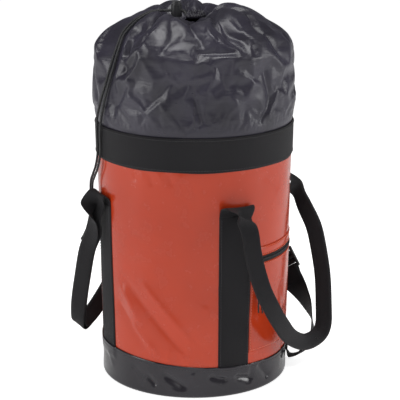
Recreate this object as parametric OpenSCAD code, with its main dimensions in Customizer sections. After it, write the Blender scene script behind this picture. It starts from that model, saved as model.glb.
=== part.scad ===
// Rope storage bag: a tapered PVC drum with webbing carry handles and shoulder straps, a side zip
// pocket, and a nylon hood drawn shut by a cord with a spring cord lock.
// Millimetres, +Z up. The origin is the centre of the underside, and the plain front faces -Y.
// A direction round the bag is an azimuth in degrees: 0 is the front (-Y) and 90 is +X.

/* [Drum] */
// Outside diameter of the PVC wall at the rim
rim_d = 290; // [286:1:294]
// Outside diameter of the PVC wall at the base
base_d = 276; // [272:1:280]
// Height of the PVC wall
wall_h = 390; // [386:1:394]
// Thickness of the PVC wall
wall_t = 1.6; // [1.2:0.1:2]
// Thickness of the black PVC boot round the base
boot_t = 1.6; // [1.2:0.1:2]
// Height of the boot's top edge on the bag's axis
boot_h = 52; // [48:1:56]
// Slope of the boot's top edge, lower towards +X
boot_slope = 3.6; // [0:0.1:4]
// Thickness of the stiff disc inside the base
disc_t = 3; // [2:0.5:4]

/* [Webbing] */
// Width of the rim band and of the four vertical strips
web_w = 50; // [46:1:52]
// Thickness of one layer of webbing
web_t = 1.8; // [1.4:0.1:2]
// Top of the vertical strips
strip_top = 275; // [273:1:277]
// Azimuth of the front strips from the front, the rear ones mirror it
strip_az = 46; // [44:0.5:48]
// Width of a carry handle, which is the strip folded in half
handle_w = 26; // [24:1:27]
// Thickness of a folded carry handle
handle_t = 3.6; // [3:0.2:4]
// Width of a shoulder strap
strap_w = 40; // [36:1:40]

/* [Pocket] */
// Height of the zip's centre line
zip_z = 202; // [200:1:204]
// Azimuth where the zip starts
zip_from = 57.5; // [57:0.5:58]
// Azimuth where the zip ends
zip_to = 122.5; // [121:0.5:123]
// Bottom edge of the pocket's outer panel
pocket_low = 62; // [62:1:70]
// Thickness of the pocket's panel, tapes and flap
pocket_t = 0.9; // [0.7:0.1:1]

/* [Hood] */
// Thickness of the nylon hood
hood_t = 1; // [0.8:0.1:1.2]
// Radius of the gathered hem's centre line
hem_r = 13; // [12.5:0.1:13.5]
// Diameter of the gathered hem
hem_d = 6.8; // [6.4:0.1:7]

/* [Drawcord] */
// Diameter of the drawcord
cord_d = 3.5; // [3:0.1:3.6]
// Distance between the two runs of cord through the lock
cord_gap = 4.4; // [4.2:0.1:4.6]
// Height of the cord through the lock
cord_z = 548; // [547:0.5:549]
// Diameter of the cord lock's barrel
lock_d = 16; // [15.5:0.1:16.5]
// Distance of the cord lock from the bag's axis
lock_out = 26; // [26:0.5:27]

/* [Hidden] */

$fn = 64;
pvc = "orangered";
black_pvc = [0.12, 0.11, 0.12];
webbing = [0.08, 0.08, 0.09];
nylon = [0.22, 0.21, 0.25];
plastic = [0.05, 0.05, 0.05];
cord_black = [0.03, 0.03, 0.03];

half_strip = asin(web_w / 2 / (rim_d / 2 - 3));
cut_size = 400;
seam_az = 22.5;                      // azimuth of the hood's front seam
cord_az = 201.7;                     // direction of the cord through the lock, from +X
lock_travel = 3;                     // how far the button goes down
cap_floor = 1.2;                     // floor of the cord lock's barrel
button_low = -3.05;                  // underside of the button, from the cord's centre
barrel_low = button_low - lock_travel - 1.5 - cap_floor;
barrel_high = 8.5;
slider_half = 2.8;                   // half of the zip slider's length, in degrees
slider_az = zip_from + 0.7 + 0.3 + slider_half;
pull_r = 148.6;                      // distance of the pull's pivot from the bag's axis

// Routes of the ribbons: x, y, z, then the direction across the ribbon, then its width.
// The left handle and strap have a route of their own, because they lie differently.
root_front_right = [
  [104.1, -100.5, 275.5, 0.69, 0.72, 0, 50], [105, -101.4, 282, 0.69, 0.72, 0, 48],
  [107.2, -104, 287, 0.6, 0.8, 0, 42], [110.5, -106.6, 288.5, 0.2, 0.98, 0, 34],
  [114, -107, 287.5, 0, 1, 0, 26]];
root_front_left = [for (p = root_front_right) [-p[0], p[1], p[2], p[3], -p[4], p[5], p[6]]];
route_handle_right = [
  [120, -108, 286, 0.1, 0.99, 0, 26], [125, -110, 273, 0.6, 0.8, 0, 26],
  [131, -114, 250, 0.85, 0.5, 0.1, 26], [135, -115, 227, 0.91, 0.36, 0.2, 26],
  [141, -112, 197, 0.91, 0.36, 0.2, 26], [148, -105, 168, 0.88, 0.35, 0.33, 26],
  [155, -92, 142, 0.83, 0.33, 0.45, 26], [161, -69, 112, 0.66, 0.47, 0.59, 26],
  [165, -34, 80, 0.37, 0.59, 0.72, 26], [172, 12, 56, -0.3, 0.77, 0.57, 26],
  [180, 52, 53, -0.8, 0.26, 0.54, 26], [184, 70, 65, -0.99, 0.06, 0.11, 26],
  [180, 84, 92, -1, 0, 0, 26], [173, 97, 138, -1, 0, 0, 26], [162, 106, 182, -1, 0, 0.1, 26],
  [153, 110, 210, -1, 0, 0.15, 26], [140, 111, 236, -0.95, 0, 0.3, 26],
  [127, 110, 260, -0.8, 0.5, 0.3, 26], [120, 108, 286, -0.1, 0.99, 0, 26]];
route_handle_left = [
  [-120, -108, 286, 0.1, -0.99, 0, 26], [-123, -109, 273, 0.6, -0.8, 0, 26],
  [-122, -105, 250, 0.85, -0.4, 0.1, 26], [-123, -100, 227, 0.96, -0.1, 0.2, 26],
  [-136, -90, 194, 0.98, 0.07, 0.2, 26], [-152, -75, 144, 0.99, 0.07, 0.15, 26],
  [-165, -61, 100, 0.99, 0.07, 0.1, 26], [-172, -50, 68, 0.97, -0.1, -0.1, 26],
  [-172, -37, 58, 0.8, -0.2, -0.5, 26], [-166, -16, 68, 0.7, 0.1, -0.7, 26],
  [-161, 8, 84, 0.68, 0.25, -0.7, 26], [-156, 38, 106, 0.72, 0.2, -0.65, 26],
  [-151, 84, 146, 0.72, -0.1, -0.65, 26], [-143, 114, 190, 0.65, -0.54, -0.54, 26],
  [-133, 116, 236, 0.4, -0.91, -0.1, 26], [-125, 111, 265, 0.2, -0.98, 0, 26],
  [-120, 108, 286, 0.1, -0.99, 0, 26]];
route_strap_top = [
  [45, 139.5, 337, 0.95, -0.31, 0, 40], [46, 142, 324, 0.95, -0.31, 0, 40],
  [48, 151, 309, 0.95, -0.31, 0, 40], [50, 159, 299, 0.95, -0.31, 0, 40]];
route_strap_upper = [
  [51, 162.5, 295, 0.95, -0.31, 0, 40], [56, 168, 262, 0.95, -0.31, 0.1, 40],
  [66, 164, 218, 0.9, -0.3, 0.25, 40], [75, 151, 180, 0.85, -0.1, 0.45, 40],
  [80, 144.7, 159, 0.83, -0.03, 0.55, 40], [83.6, 143.6, 153.5, 0.83, -0.03, 0.55, 40]];
route_strap_lower = [
  [105.9, 136.6, 119.4, 0.83, -0.03, 0.55, 40], [110, 135.3, 113.2, 0.83, -0.05, 0.55, 40],
  [129, 128, 95, 0.6, -0.4, 0.65, 40],
  [145, 118, 76, 0.5, -0.7, 0.5, 40], [155, 108, 57, 0.3, -0.93, 0.2, 40],
  [159, 96, 38, 0.1, -0.95, 0.3, 40], [154, 83, 24, 0.1, -0.9, 0.4, 40],
  [146, 72, 16, 0.2, -0.85, 0.4, 40]];
route_strap_foot = [
  [142.5, 68.5, 15, 0.3, -0.86, 0.38, 40], [136.4, 63, 14.6, 0.38, -0.9, 0.2, 40],
  [129, 59.6, 14, 0.42, -0.91, 0, 40]];
ladder_place = [95, 140, 136];
ladder_run = [19, -6, -29];
ladder_across = [0.7, 0, 0.68];

// Routes of the two free tails of the drawcord, from the lock to the tips.
route_tail_rear = [
  [-43.5, -15, 548], [-57, -24, 547], [-68, -44, 541], [-78, -59, 531], [-82, -74, 521],
  [-81, -89, 511], [-81, -107, 493], [-84, -116, 474], [-90, -116, 454], [-97, -113, 437],
  [-105, -107, 417], [-111, -101, 400], [-113, -98, 380], [-113, -97, 350],
  [-118, -93, 328], [-128, -82, 311], [-137, -71, 296], [-140, -67, 270],
  [-142, -66, 242], [-148, -66, 218]];
route_tail_front = [
  [-41.9, -19, 548], [-53, -31, 547], [-63, -51, 541], [-72, -67, 530], [-76, -82, 520],
  [-75, -96, 510], [-74, -113, 493], [-77, -121, 474], [-83, -122, 454], [-89, -119, 437],
  [-95, -116, 417], [-100, -112, 400], [-104, -107, 378], [-104, -107, 350],
  [-111, -102, 326], [-123, -88, 308], [-131, -78, 295], [-133, -75, 272], [-133, -76, 254]];
route_tip_rear = [[-148.1, -66, 217.7], [-151.5, -66, 209], [-157, -66, 202]];
route_tip_front = [[-133, -76, 253.8], [-133, -76, 245], [-134, -77, 238]];
tail_across = [0.37, -0.93, 0];

function wall_r(z) = (base_d + (rim_d - base_d) * z / wall_h) / 2;
function unit(v) = v / norm(v);
function point(p) = [p[0], p[1], p[2]];
function blend(a, b, c, d, t) = 0.5 * (2 * b + (c - a) * t + (2 * a - 5 * b + 4 * c - d) * t * t
  + (3 * b - a - 3 * c + d) * t * t * t);
// A smooth curve through every point of p, with n steps between neighbours
function smooth(p, n) = [
  for (i = [0:len(p) - 2], k = [0:n - 1])
    blend(p[max(i - 1, 0)], p[i], p[i + 1], p[min(i + 2, len(p) - 1)], k / n),
  p[len(p) - 1]];
function heading(p, i) = unit(point(p[min(i + 1, len(p) - 1)]) - point(p[max(i - 1, 0)]));
function mirrored(route) = [for (p = route) [-p[0], p[1], p[2], p[3], -p[4], -p[5], p[6]]];
function off_line(v, t) = unit(v - (v * t) * t);

// Joins rings of equal length into one closed solid
module skin(rings) {
  m = len(rings[0]);
  last = len(rings) - 1;
  sides = [for (i = [0:last - 1], k = [0:m - 1]) let (a = i * m + k, b = i * m + (k + 1) % m)
    each k < m / 2 ? [[a, b, a + m], [b, b + m, a + m]] : [[a, b, b + m], [a, b + m, a + m]]];
  start = [for (k = [m - 1:-1:0]) k];
  end = [for (k = [0:m - 1]) last * m + k];
  polyhedron(points = [for (r = rings) each r], faces = concat(sides, [start, end]));
}

// A flat ribbon along a route, t thick
module ribbon(route, t, steps = 4) {
  p = smooth(route, steps);
  skin([for (i = [0:len(p) - 1])
    let (go = heading(p, i), c = point(p[i]), w = off_line([p[i][3], p[i][4], p[i][5]], go),
      n = cross(go, w), a = p[i][6] / 2 * w, b = t / 2 * n)
    [c + a + b, c + a - b, c - a - b, c - a + b]]);
}

// A round cord along points, with a sideways direction that the points never follow
module tube(p, d, across, sides = 8) {
  skin([for (i = [0:len(p) - 1])
    let (go = heading(p, i), e = off_line(across, go), f = cross(go, e))
    [for (k = [sides - 1:-1:0]) p[i] + d / 2 * (cos(360 * k / sides) * e + sin(360 * k / sides) * f)]]);
}

// A curved plate on the drum between two heights and two azimuths
module plate(low, high, proud, t, from, to) {
  rotate([0, 0, from - 90])
    rotate_extrude(angle = to - from, $fn = 96)
      polygon([
        [wall_r(low) + proud, low], [wall_r(low) + proud + t, low],
        [wall_r(high) + proud + t, high], [wall_r(high) + proud, high]]);
}

// Everything below the boot's sloping top edge
module below_boot_edge() {
  translate([0, 0, boot_h])
    rotate([0, boot_slope, 0])
      translate([-cut_size / 2, -cut_size / 2, -cut_size / 2])
        cube([cut_size, cut_size, cut_size / 2]);
}

module body_panel() {
  low = 1.5;
  high = wall_h - 2;
  color(pvc)
    rotate_extrude($fn = 96)
      polygon([
        [wall_r(low) - wall_t, low], [wall_r(low), low],
        [wall_r(high), high], [wall_r(high) - wall_t, high]]);
}

module back_seam() {
  color(pvc)
    difference() {
      plate(20, 338, 0, 0.9, 176, 184);
      below_boot_edge();
    }
}

module base_boot() {
  high = boot_h + 30;
  color(black_pvc)
    intersection() {
      rotate_extrude($fn = 96)
        polygon([
          [0, 0], [wall_r(0) + boot_t, 0], [wall_r(high) + boot_t, high],
          [wall_r(high), high], [wall_r(1.5), 1.5], [0, 1.5]]);
      below_boot_edge();
    }
}

module base_disc() {
  color(black_pvc)
    translate([0, 0, 1.5])
      cylinder(r = wall_r(1.5) - wall_t, h = disc_t, $fn = 96);
}

module rim_band() {
  low = wall_h - web_w;
  color(webbing)
    rotate_extrude($fn = 96)
      polygon([
        [wall_r(low), low], [wall_r(low) + web_t, low],
        [wall_r(wall_h) + web_t, wall_h], [wall_r(wall_h), wall_h]]);
}

module strip(az) {
  color(webbing)
    difference() {
      plate(20, strip_top, 0, web_t, az - half_strip, az + half_strip);
      below_boot_edge();
    }
}

module strip_front_left() { strip(-strip_az); }
module strip_front_right() { strip(strip_az); }
module strip_rear_left() { strip(strip_az - 180); }
module strip_rear_right() { strip(180 - strip_az); }

module handle_root_front_left() { color(webbing) ribbon(root_front_left, web_t); }
module handle_root_front_right() { color(webbing) ribbon(root_front_right, web_t); }
module handle_root_rear_left() { color(webbing) mirror([0, 1, 0]) ribbon(root_front_left, web_t); }
module handle_root_rear_right() { color(webbing) mirror([0, 1, 0]) ribbon(root_front_right, web_t); }
module handle_left() { color(webbing) ribbon(route_handle_left, handle_t); }
module handle_right() { color(webbing) ribbon(route_handle_right, handle_t); }

// The hood is drawn nearly shut: its outline runs from inside the rim to the gathered hem.
// It is two panels, sewn together along seams at azimuth seam_az and opposite it.
module hood_panel(from) {
  outline = [
    [wall_r(370) - wall_t, 370], [wall_r(388) - wall_t, 388.3], [rim_d / 2 + 0.6, 391.5],
    [146, 412], [145.4, 432], [143.6, 452], [140.5, 470], [134.5, 488], [125, 503],
    [110, 517], [92, 529], [75, 537], [60, 540], [47, 538], [30, 537], [18, 538]];
  inner = [for (i = [0:len(outline) - 1])
    let (go = unit(outline[min(i + 1, len(outline) - 1)] - outline[max(i - 1, 0)]))
    outline[i] + hood_t * [-go[1], go[0]]];
  color(nylon)
    rotate([0, 0, from - 90])
      rotate_extrude(angle = 180, $fn = 96)
        polygon(concat(outline, [for (i = [len(inner) - 1:-1:0]) inner[i]]));
}

module hood_panel_right() { hood_panel(seam_az); }
module hood_panel_left() { hood_panel(seam_az + 180); }

// The hem is a tube round the throat, open towards the lock where the cord leaves it
module hood_hem() {
  exit_half = 42;
  color(nylon)
    translate([0, 0, 541])
      rotate([0, 0, cord_az + exit_half])
        rotate_extrude(angle = 360 - 2 * exit_half, $fn = 48)
          translate([hem_r, 0])
            difference() {
              circle(d = hem_d, $fn = 24);
              circle(d = cord_d + 0.6, $fn = 24);
            }
}

// The cord inside the hem and its two runs through the lock, as one length
module drawcord() {
  turn = 35;
  loop = [for (a = [turn:10:360 - turn]) [hem_r * cos(a), hem_r * sin(a), 541]];
  side = cord_gap / 2;
  lead = [[45.9, side, cord_z], [34, side, cord_z], [17.5, side, cord_z], [13.5, 4.6, 545]];
  back = [for (i = [len(lead) - 1:-1:0]) [lead[i][0], -lead[i][1], lead[i][2]]];
  color(cord_black)
    rotate([0, 0, cord_az])
      tube(concat(lead, loop, back), cord_d, [0, 0, 1]);
}

module cord_tail(route) { color(cord_black) tube(smooth(route, 2), cord_d, tail_across); }
module drawcord_tail_front() { cord_tail(route_tail_front); }
module drawcord_tail_rear() { cord_tail(route_tail_rear); }
module cord_tip(route) { color(plastic) tube(smooth(route, 2), cord_d + 1, tail_across); }
module cord_tip_front() { cord_tip(route_tip_front); }
module cord_tip_rear() { cord_tip(route_tip_rear); }

module at_lock() {
  translate([lock_out * cos(cord_az), lock_out * sin(cord_az), cord_z])
    rotate([0, 0, cord_az])
      children();
}

module cord_lock_body() {
  color(plastic)
    at_lock()
      difference() {
        translate([0, 0, barrel_low])
          cylinder(d = lock_d, h = barrel_high - barrel_low);
        translate([0, 0, barrel_low + cap_floor])
          cylinder(d = lock_d - 3.6, h = barrel_high - barrel_low);
        cube([lock_d + 2, 2 * cord_d + 1.3, cord_d + 0.7], center = true);
      }
}

module cord_lock_button() {
  slot_low = -cord_d / 2 - 0.1;
  slot_high = cord_d / 2 + lock_travel + 0.3;
  color(plastic)
    at_lock()
      difference() {
        translate([0, 0, button_low])
          cylinder(d = lock_d - 3.8, h = 13.5 - button_low);
        translate([-lock_d, -cord_d - 0.65, slot_low])
          cube([2 * lock_d, 2 * cord_d + 1.3, slot_high - slot_low]);
      }
}

module cord_lock_spring() {
  turns = 3;
  wire_d = 0.8;
  low = barrel_low + cap_floor + wire_d / 2;
  high = button_low - wire_d / 2;
  color("silver")
    at_lock()
      tube([for (i = [0:turns * 16]) let (a = i * 22.5)
        [4.6 * cos(a), 4.6 * sin(a), low + (high - low) * i / (turns * 16)]], wire_d, [0, 0, 1], 6);
}

module pocket_panel() { color(pvc) plate(pocket_low, zip_z - 5, 0, pocket_t, zip_from - 1, zip_to + 1); }
module zip_tape_lower() { color(plastic) plate(zip_z - 5, zip_z - 1.6, 0, pocket_t, zip_from, zip_to); }
module zip_tape_upper() { color(plastic) plate(zip_z + 1.6, zip_z + 5, 0, pocket_t, zip_from, zip_to); }
module zip_teeth() { color(plastic) plate(zip_z - 1.6, zip_z + 1.6, 0, 2.2, zip_from + 0.7, zip_to - 0.7); }
module zip_flap() { color(pvc) plate(zip_z + 5, zip_z + 20, 0, pocket_t, zip_from - 1, zip_to + 1); }
module zip_stop(from) { color(plastic) plate(zip_z - 2.6, zip_z + 2.6, pocket_t, 1.8, from, from + 0.7); }
module zip_stop_front() { zip_stop(zip_from); }
module zip_stop_rear() { zip_stop(zip_to - 0.7); }

// The slider wraps over the teeth, and its bridge holds the pull
module zip_slider() {
  r = wall_r(zip_z);
  bore_d = 1.9;
  color(plastic) {
    rotate([0, 0, slider_az - slider_half - 90])
      rotate_extrude(angle = 2 * slider_half, $fn = 96)
        polygon([
          [r + 1.4, zip_z - 5], [r + 4.2, zip_z - 5], [r + 4.2, zip_z + 5], [r + 1.4, zip_z + 5],
          [r + 1.4, zip_z + 2.4], [r + 2.7, zip_z + 2.4], [r + 2.7, zip_z - 2.4],
          [r + 1.4, zip_z - 2.4]]);
    rotate([0, 0, slider_az - 90])
      for (side = [-1, 1])
        difference() {
          translate([r + 4.1, side * 4 - 1, zip_z - 1.8])
            cube([pull_r - r - 4.1 + 1.8, 2, 3.6]);
          translate([pull_r, side * 4, zip_z])
            rotate([90, 0, 0])
              cylinder(d = bore_d, h = 4, center = true, $fn = 24);
        }
  }
}

// The pull is a small tab with its own pin, and a loop of cord tied through it
module zip_pull_tab() {
  color(plastic)
    rotate([0, 0, slider_az - 90])
      translate([pull_r, 0, zip_z]) {
        rotate([90, 0, 0])
          cylinder(d = 1.75, h = 9.6, center = true, $fn = 24);
        difference() {
          translate([-0.8, -2.6, -13])
            cube([1.6, 5.2, 13]);
          translate([-2, 0, -10])
            rotate([0, 90, 0])
              cylinder(d = 3, h = 4, $fn = 24);
        }
      }
}

module zip_pull_cord() {
  wire_d = 2.2;
  loop = [
    [0.4, 1.6, -52], [1.9, 2.4, -40], [2.2, 1.8, -24], [2.2, 0.3, -13.4], [1.6, 0, -10.4],
    [0, 0, -9.6], [-1.6, 0, -10.4], [-2.2, -0.3, -13.4], [-2.2, -1.8, -24], [-1.9, -2.4, -40],
    [-0.4, -1.6, -52]];
  color(cord_black)
    rotate([0, 0, slider_az - 90])
      translate([pull_r, 0, zip_z]) {
        tube(loop, wire_d, [0.2, 1, 0], 6);
        translate([0, 0, -55])
          sphere(d = 8, $fn = 24);
        tube([[0, 1.8, -57], [0, 3, -66], [0.5, 5, -80]], wire_d, [1, 0, 0], 6);
        tube([[0, -1.8, -57], [0, -2.4, -66], [-0.5, -2, -78]], wire_d, [1, 0, 0], 6);
      }
}

module strap_top_left() { color(webbing) ribbon(mirrored(route_strap_top), web_t); }
module strap_top_right() { color(webbing) ribbon(route_strap_top, web_t); }
module strap_foot_left() { color(webbing) ribbon(mirrored(route_strap_foot), web_t); }
module strap_foot_right() { color(webbing) ribbon(route_strap_foot, web_t); }
module shoulder_strap_upper_left() { color(webbing) ribbon(mirrored(route_strap_upper), web_t); }
module shoulder_strap_upper_right() { color(webbing) ribbon(route_strap_upper, web_t); }
module shoulder_strap_lower_left() { mirror([1, 0, 0]) shoulder_strap_lower_right(); }
module shoulder_strap_lower_right() { color(webbing) ribbon(route_strap_lower, web_t); }

// A ladder lock is a frame with three bars, between the upper and the lower strap
module ladder_lock_right() {
  frame_w = 48;
  frame_l = 34;
  frame_t = 4.5;
  window_l = 10.5;
  run = unit(ladder_run);
  across = off_line(ladder_across, run);
  up = cross(across, run);
  color(plastic)
    multmatrix([
      [across[0], run[0], up[0], ladder_place[0]],
      [across[1], run[1], up[1], ladder_place[1]],
      [across[2], run[2], up[2], ladder_place[2]],
      [0, 0, 0, 1]])
      difference() {
        cube([frame_w, frame_l, frame_t], center = true);
        for (side = [-1, 1])
          translate([0, side * (window_l + 4) / 2, 0])
            cube([strap_w + 1, window_l, frame_t + 2], center = true);
      }
}

module ladder_lock_left() { mirror([1, 0, 0]) ladder_lock_right(); }

// A loop of webbing inside the base, where the rope's end is tied in
module rope_tie_loop() {
  outer_r = 17;
  color(webbing)
    translate([-12.5, wall_r(30) - wall_t - 1.2, 30])
      rotate([90, 0, 90])
        linear_extrude(height = 25)
          difference() {
            intersection() {
              circle(r = outer_r, $fn = 48);
              translate([-2 * outer_r, -outer_r])
                square([2 * outer_r, 2 * outer_r]);
            }
            circle(r = outer_r - web_t, $fn = 48);
          }
}

body_panel();
back_seam();
base_boot();
base_disc();
rim_band();
hood_panel_left();
hood_panel_right();
hood_hem();
strip_front_left();
strip_front_right();
strip_rear_left();
strip_rear_right();
handle_root_front_left();
handle_root_front_right();
handle_root_rear_left();
handle_root_rear_right();
handle_left();
handle_right();
pocket_panel();
zip_tape_lower();
zip_tape_upper();
zip_teeth();
zip_flap();
zip_stop_front();
zip_stop_rear();
zip_slider();
zip_pull_tab();
zip_pull_cord();
strap_top_left();
strap_top_right();
strap_foot_left();
strap_foot_right();
shoulder_strap_upper_left();
shoulder_strap_upper_right();
shoulder_strap_lower_left();
shoulder_strap_lower_right();
ladder_lock_left();
ladder_lock_right();
drawcord();
drawcord_tail_front();
drawcord_tail_rear();
cord_tip_front();
cord_tip_rear();
cord_lock_body();
cord_lock_button();
cord_lock_spring();
rope_tie_loop();
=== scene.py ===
"""Looks of the rope storage bag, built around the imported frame. Metres, +Z up, the plain front faces -Y.
A direction round the bag is an azimuth in degrees: 0 is the front (-Y) and 90 is +X."""

import math
import random

import bpy
import numpy as np
from mathutils import Matrix, Vector

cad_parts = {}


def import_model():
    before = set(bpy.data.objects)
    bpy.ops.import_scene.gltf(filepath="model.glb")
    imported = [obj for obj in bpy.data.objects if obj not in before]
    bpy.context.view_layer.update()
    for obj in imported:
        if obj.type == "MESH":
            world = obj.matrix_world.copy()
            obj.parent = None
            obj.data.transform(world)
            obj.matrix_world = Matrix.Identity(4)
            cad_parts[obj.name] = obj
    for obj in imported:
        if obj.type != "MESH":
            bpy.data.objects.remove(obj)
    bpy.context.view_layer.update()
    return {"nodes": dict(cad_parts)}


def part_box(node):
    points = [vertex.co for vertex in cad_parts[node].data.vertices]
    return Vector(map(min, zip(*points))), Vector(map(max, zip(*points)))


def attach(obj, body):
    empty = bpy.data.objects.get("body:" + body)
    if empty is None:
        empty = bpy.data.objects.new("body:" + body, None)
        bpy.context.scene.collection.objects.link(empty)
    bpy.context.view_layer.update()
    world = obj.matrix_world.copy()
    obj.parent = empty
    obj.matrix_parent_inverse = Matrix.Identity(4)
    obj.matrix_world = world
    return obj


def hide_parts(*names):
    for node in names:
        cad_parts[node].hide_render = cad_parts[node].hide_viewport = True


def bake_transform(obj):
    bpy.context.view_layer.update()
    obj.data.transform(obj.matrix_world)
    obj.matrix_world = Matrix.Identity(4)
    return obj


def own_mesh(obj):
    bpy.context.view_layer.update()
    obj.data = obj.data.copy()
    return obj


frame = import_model()
MM = 0.001

# ---------------------------------------------------------------- sizes, from the frame where it has them
RIM_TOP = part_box("rim_band")[1].z
RIM_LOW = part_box("rim_band")[0].z
WEB_T = 1.8 * MM
WEB_W = RIM_TOP - RIM_LOW
STRAP_W = 40 * MM
RIM_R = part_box("rim_band")[1].x - WEB_T
WALL_T = 1.6 * MM
PVC_T = 0.9 * MM                       # a second layer of coated fabric on the wall
GAP = 0.05 * MM                        # what is sewn on starts this far outside the wall
BASE_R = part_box("base_disc")[1].x + WALL_T
BASE_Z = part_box("base_disc")[0].z
STRIP_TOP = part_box("strip_front_left")[1].z
STRIP_AZ = 46                          # where the strips' middles are, in degrees
STRIPS = {"front_left": -STRIP_AZ, "front_right": STRIP_AZ,
          "rear_left": STRIP_AZ - 180, "rear_right": 180 - STRIP_AZ}
BOOT_H = 52 * MM
BOOT_T = 1.6 * MM
BOOT_SLOPE = math.tan(math.radians(3.6))
HALF_STRIP = math.degrees(math.asin(WEB_W / 2 / (RIM_R - 3 * MM)))      # half its width, in degrees
ZIP_Z = (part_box("zip_teeth")[0].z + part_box("zip_teeth")[1].z) / 2
ZIP_FROM, ZIP_TO = 57.5, 122.5
PULL_R = 148.6 * MM                    # from the bag's axis to the pull's pivot
POCKET_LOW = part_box("pocket_panel")[0].z
SEAM_AZ = 22.5                         # the hood's front seam
HEM_R, HEM_D, HEM_Z = 13 * MM, 6.8 * MM, 541 * MM
CORD_D, CORD_Z, CORD_GAP = 3.5 * MM, 548 * MM, 4.4 * MM
CORD_AZ = math.radians(201.7)          # direction of the cord through the lock, from +X
LOCK_AZ = -68.3                        # the same direction as an azimuth
TAILS_AZ = -56                         # where the two tails hang against the wall


# ---------------------------------------------------------------- camera, floor and light
def camera():
    data = bpy.data.cameras.new("camera")
    data.lens = 145.8
    data.sensor_width = 36
    data.shift_x = 0.01425
    data.clip_end = 50
    cam = bpy.data.objects.new("camera", data)
    bpy.context.scene.collection.objects.link(cam)
    heading, away, height, down = math.radians(21.5), 2.342, 0.901, 15.25
    cam.location = (away * math.sin(heading), -away * math.cos(heading), height)
    cam.rotation_euler = (math.radians(90 - down), 0, heading)
    bpy.context.scene.camera = cam


def area_light(name, place, aim, size, power):
    data = bpy.data.lights.new(name, "AREA")
    data.shape = "RECTANGLE"
    data.size, data.size_y = size
    data.energy = power
    lamp = bpy.data.objects.new(name, data)
    bpy.context.scene.collection.objects.link(lamp)
    lamp.location = place
    lamp.rotation_euler = (Vector(aim) - Vector(place)).to_track_quat("-Z", "Y").to_euler()


def lights():
    """White on every side for soft light, and a darker room in the reflections, which keeps black black."""
    world = bpy.data.worlds.new("studio")
    bpy.context.scene.world = world
    world.use_nodes = True
    tree = world.node_tree
    soft, dark = tree.nodes["Background"], tree.nodes.new("ShaderNodeBackground")
    path, mix = tree.nodes.new("ShaderNodeLightPath"), tree.nodes.new("ShaderNodeMixShader")
    soft.inputs["Color"].default_value = (1, 1, 1, 1)
    soft.inputs["Strength"].default_value = 0.34
    dark.inputs["Color"].default_value = (1, 1, 1, 1)
    dark.inputs["Strength"].default_value = 0.12
    tree.links.new(path.outputs["Is Glossy Ray"], mix.inputs[0])
    tree.links.new(soft.outputs[0], mix.inputs[1])
    tree.links.new(dark.outputs[0], mix.inputs[2])
    tree.links.new(mix.outputs[0], tree.nodes["World Output"].inputs["Surface"])
    middle = (0, 0, 0.32)
    area_light("key_left", (-1.6, -1.5, 1.5), middle, (0.8, 1.3), 19)
    area_light("low_left", (-1.7, -1.45, 0.45), middle, (0.5, 0.7), 6)
    area_light("fill_front", (1.3, -2.4, 1.0), middle, (0.6, 1.1), 5)
    area_light("rim_right", (1.7, 0.3, 0.9), middle, (0.4, 1.5), 13)
    area_light("top", (0.1, -0.1, 2.0), middle, (0.9, 0.9), 14)
    view = bpy.context.scene.view_settings
    view.view_transform = "Standard"
    view.look = "None"


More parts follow.
